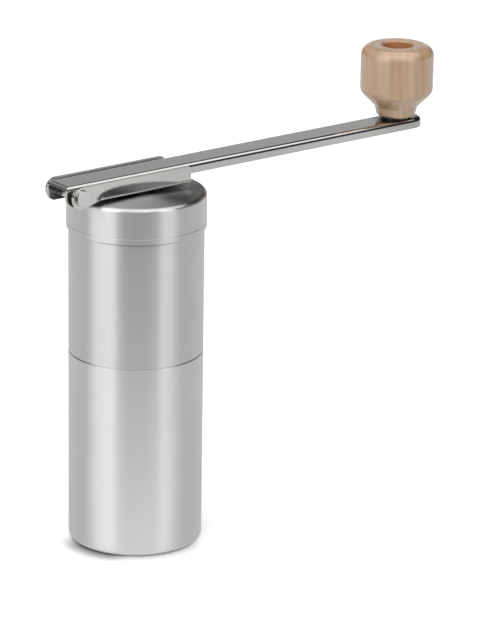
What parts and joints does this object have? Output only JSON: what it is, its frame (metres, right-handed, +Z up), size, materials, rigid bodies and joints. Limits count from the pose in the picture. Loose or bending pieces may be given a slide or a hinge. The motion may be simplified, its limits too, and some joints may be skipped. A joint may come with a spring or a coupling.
{
  "type": "hand crank coffee grinder",
  "caption": "Cylindrical steel hand coffee grinder with a folding crank, wooden knob, conical burrs, a lift-off lid and a pull-off canister.",
  "frame": {"origin": "centre of the canister's base, on the axis of the drive shaft", "axes": "+Z up along the shaft, +X along the unfolded crank arm towards the knob"},
  "size_m": [0.1734, 0.0516, 0.1711],
  "materials": {
    "brushed_shell": "stainless steel, brushed round the axis",
    "polished_steel": "stainless sheet, polished",
    "plain_steel": "turned and zinc plated steel",
    "wood": "light hardwood, fine sanded, clear oil",
    "black_steel": "turned steel with a black oxide finish",
    "brass": "turned brass",
    "dark_plastic": "moulded black plastic",
    "white_plastic": "acetal bearing plastic",
    "ceramic": "sintered white ceramic, opaque",
    "seal_rubber": "moulded silicone rubber"
  },
  "bodies": {
    "canister": {"canister": "brushed_shell"},
    "hopper": {"body_tube": "brushed_shell", "burr_housing": "dark_plastic", "canister_seal": "seal_rubber", "bearing_bridge": "dark_plastic", "upper_bush": "white_plastic", "lower_bush": "white_plastic", "outer_burr": "ceramic", "burr_clamp": "plain_steel", "clamp_screws": "plain_steel"},
    "drive": {"drive_shaft": "plain_steel", "shaft_clip": "plain_steel", "burr_spring": "plain_steel"},
    "burr": {"inner_burr": "ceramic", "burr_driver": "dark_plastic", "spring_washer": "plain_steel", "click_plate": "plain_steel"},
    "adjuster": {"adjuster_dial": "dark_plastic"},
    "lid": {"lid": "brushed_shell", "lid_bush": "dark_plastic"},
    "crank": {"crank_bracket": "polished_steel", "drive_socket": "black_steel", "socket_clip": "plain_steel", "crank_screw": "plain_steel", "crank_washer": "dark_plastic", "hinge_pin": "polished_steel", "pin_clip": "polished_steel", "hinge_washers": "polished_steel"},
    "arm": {"crank_arm": "polished_steel", "knob_washer": "dark_plastic", "knob_screw": "plain_steel", "knob_nut": "plain_steel"},
    "knob": {"knob": "wood", "knob_bush": "brass"}
  },
  "joints": [
    {"name": "canister_pull", "type": "slide", "parent": "canister", "child": "hopper", "axis": [0, 0, 1], "range_m": [0, 0.03]},
    {"name": "lid_lift", "type": "slide", "parent": "hopper", "child": "lid", "axis": [0, 0, 1], "range_m": [0, 0.03]},
    {"name": "crank_spin", "type": "hinge", "parent": "lid", "child": "crank", "pos_m": [0, 0, 0.1358], "axis": [0, 0, 1], "continuous": true},
    {"name": "arm_fold", "type": "hinge", "parent": "crank", "child": "arm", "pos_m": [-0.0303, 0, 0.13835], "axis": [0, 1, 0], "range_deg": [-270, 0]},
    {"name": "knob_spin", "type": "hinge", "parent": "arm", "child": "knob", "pos_m": [0.12385, 0, 0.1435], "axis": [0, 0, 1], "continuous": true},
    {"name": "shaft_spin", "type": "hinge", "parent": "hopper", "child": "drive", "pos_m": [0, 0, 0.1], "axis": [0, 0, 1], "continuous": true},
    {"name": "burr_drop", "type": "slide", "parent": "drive", "child": "burr", "axis": [0, 0, 1], "range_m": [-0.0012, 0], "deforming": ["burr_spring"]},
    {"name": "adjuster_turn", "type": "hinge", "parent": "burr", "child": "adjuster", "pos_m": [0, 0, 0.064], "axis": [0, 0, 1], "range_deg": [-540, 0]}
  ],
  "couplings": [
    {"joint": "shaft_spin", "follows": "crank_spin", "ratio": 1},
    {"joint": "burr_drop", "follows": "adjuster_turn", "m_per_rad": 0.00012732}
  ]
}
